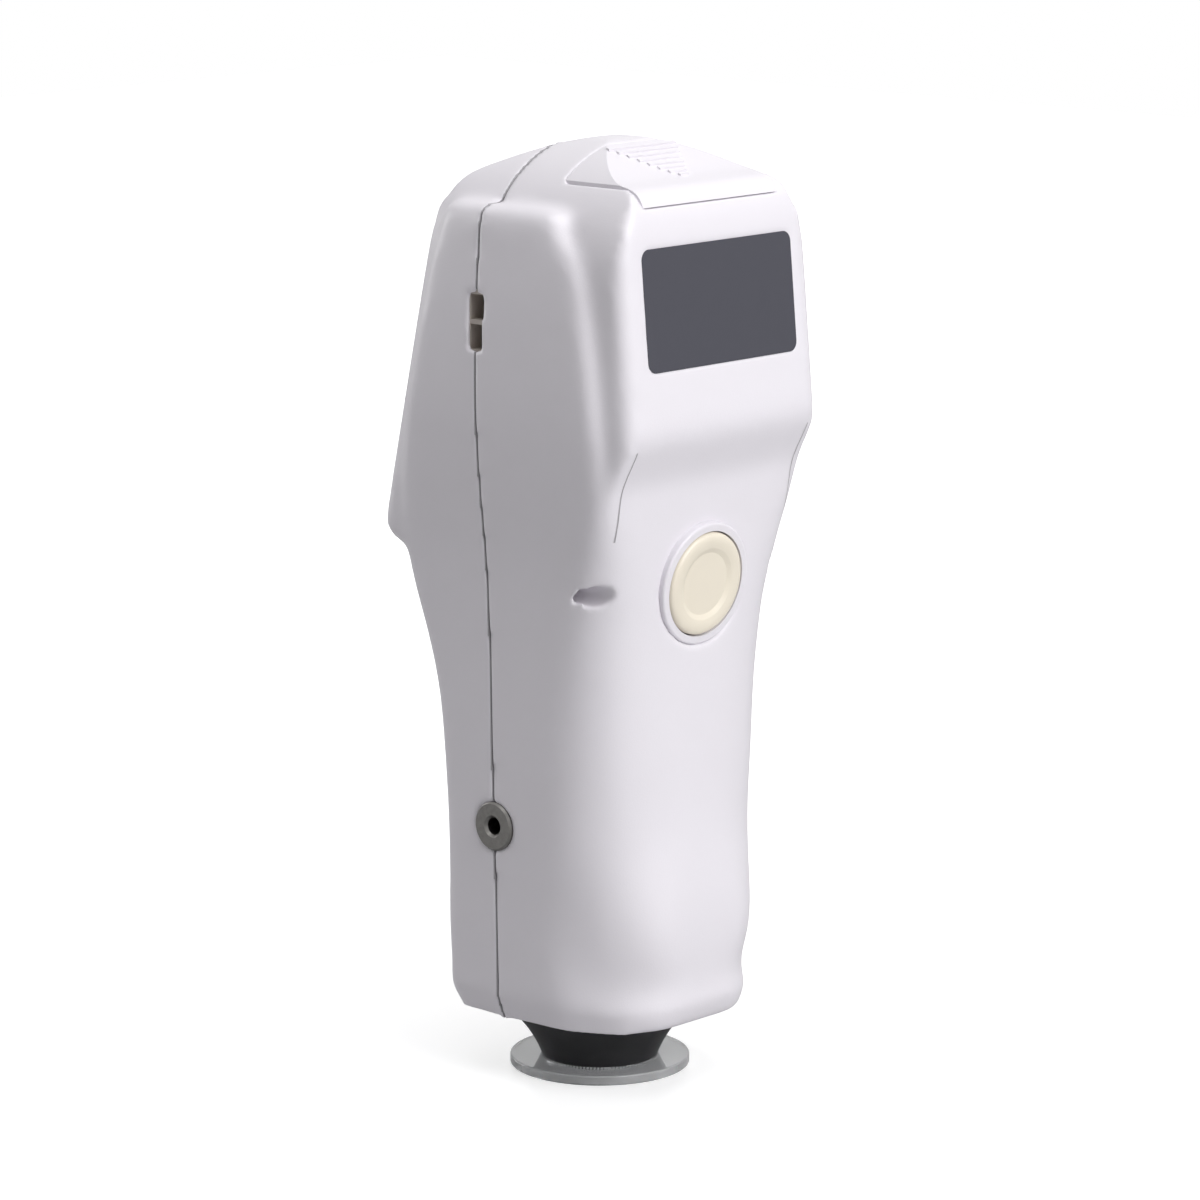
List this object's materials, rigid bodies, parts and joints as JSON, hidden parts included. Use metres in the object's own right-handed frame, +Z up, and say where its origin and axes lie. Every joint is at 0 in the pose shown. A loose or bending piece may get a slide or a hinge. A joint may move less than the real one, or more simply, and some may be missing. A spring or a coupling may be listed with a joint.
{
  "type": "portable colorimeter",
  "caption": "Hand-held colour measuring instrument that stands on its nose, with a measuring button, screen, keys and a sliding battery cover.",
  "frame": {"origin": "centre of the measuring aperture on the flat face that the nose rests on", "axes": "+Z up, the screen faces -Y, the measuring button faces +Y, the strap bar is on +X"},
  "size_m": [0.0772, 0.0829, 0.2302],
  "materials": {
    "case_white": "satin moulded plastic",
    "turned_steel": "turned",
    "label_grey": "printed film, bare",
    "screw_steel": "plated",
    "nose_black": "fine matt",
    "clear_plastic": "clear acrylic",
    "battery_wrap": "shrink film",
    "inner_black": "matt",
    "contact_nickel": "plated",
    "board_green": "solder mask",
    "optical_glass": "polished",
    "window_glass": "polished, dark",
    "display_dark": "gloss",
    "key_rubber": "matt",
    "button_cream": "satin",
    "switch_grey": "matt"
  },
  "bodies": {
    "case": {"front_shell": "case_white", "rear_shell": "case_white", "strap_anchor": "case_white", "threaded_insert": "turned_steel", "button_bezel": "case_white", "label_plate": "label_grey", "case_screws": "screw_steel", "nose_cone": "nose_black", "locating_ring": "clear_plastic", "battery_pack": "battery_wrap", "battery_holder": "inner_black", "battery_contacts": "contact_nickel", "button_switch": "board_green", "main_board": "board_green", "optics_block": "inner_black", "sensor_barrel": "inner_black", "led_ring_board": "board_green", "aperture_glass": "optical_glass", "display_window": "window_glass", "display_module": "display_dark", "keypad_mat": "key_rubber", "keypad_board": "board_green", "switch_body": "inner_black"},
    "cover": {"battery_cover": "case_white"},
    "button": {"measure_button": "button_cream"},
    "power_knob": {"power_switch": "switch_grey"},
    "key_1": {"key_1": "key_rubber"},
    "key_2": {"key_2": "key_rubber"},
    "key_3": {"key_3": "key_rubber"},
    "key_4": {"key_4": "key_rubber"},
    "key_5": {"key_5": "key_rubber"}
  },
  "joints": [
    {"name": "button_press", "type": "slide", "parent": "case", "child": "button", "axis": [0, -0.9919, 0.1271], "range_m": [0, 0.0012], "stiffness_N_per_m": 1500},
    {"name": "cover_slide", "type": "slide", "parent": "case", "child": "cover", "axis": [0, 1, 0], "range_m": [0, 0.032]},
    {"name": "power_slide", "type": "slide", "parent": "case", "child": "power_knob", "axis": [0, 0, 1], "range_m": [0, 0.003]},
    {"name": "key_1_press", "type": "slide", "parent": "case", "child": "key_1", "axis": [0, 0.9755, -0.2198], "range_m": [0, 0.0006], "stiffness_N_per_m": 1000},
    {"name": "key_2_press", "type": "slide", "parent": "case", "child": "key_2", "axis": [0, 0.9755, -0.2198], "range_m": [0, 0.0006], "stiffness_N_per_m": 1000},
    {"name": "key_3_press", "type": "slide", "parent": "case", "child": "key_3", "axis": [0, 0.9755, -0.2198], "range_m": [0, 0.0006], "stiffness_N_per_m": 1000},
    {"name": "key_4_press", "type": "slide", "parent": "case", "child": "key_4", "axis": [0, 0.9755, -0.2198], "range_m": [0, 0.0006], "stiffness_N_per_m": 1000},
    {"name": "key_5_press", "type": "slide", "parent": "case", "child": "key_5", "axis": [0, 0.9755, -0.2198], "range_m": [0, 0.0006], "stiffness_N_per_m": 1000}
  ]
}
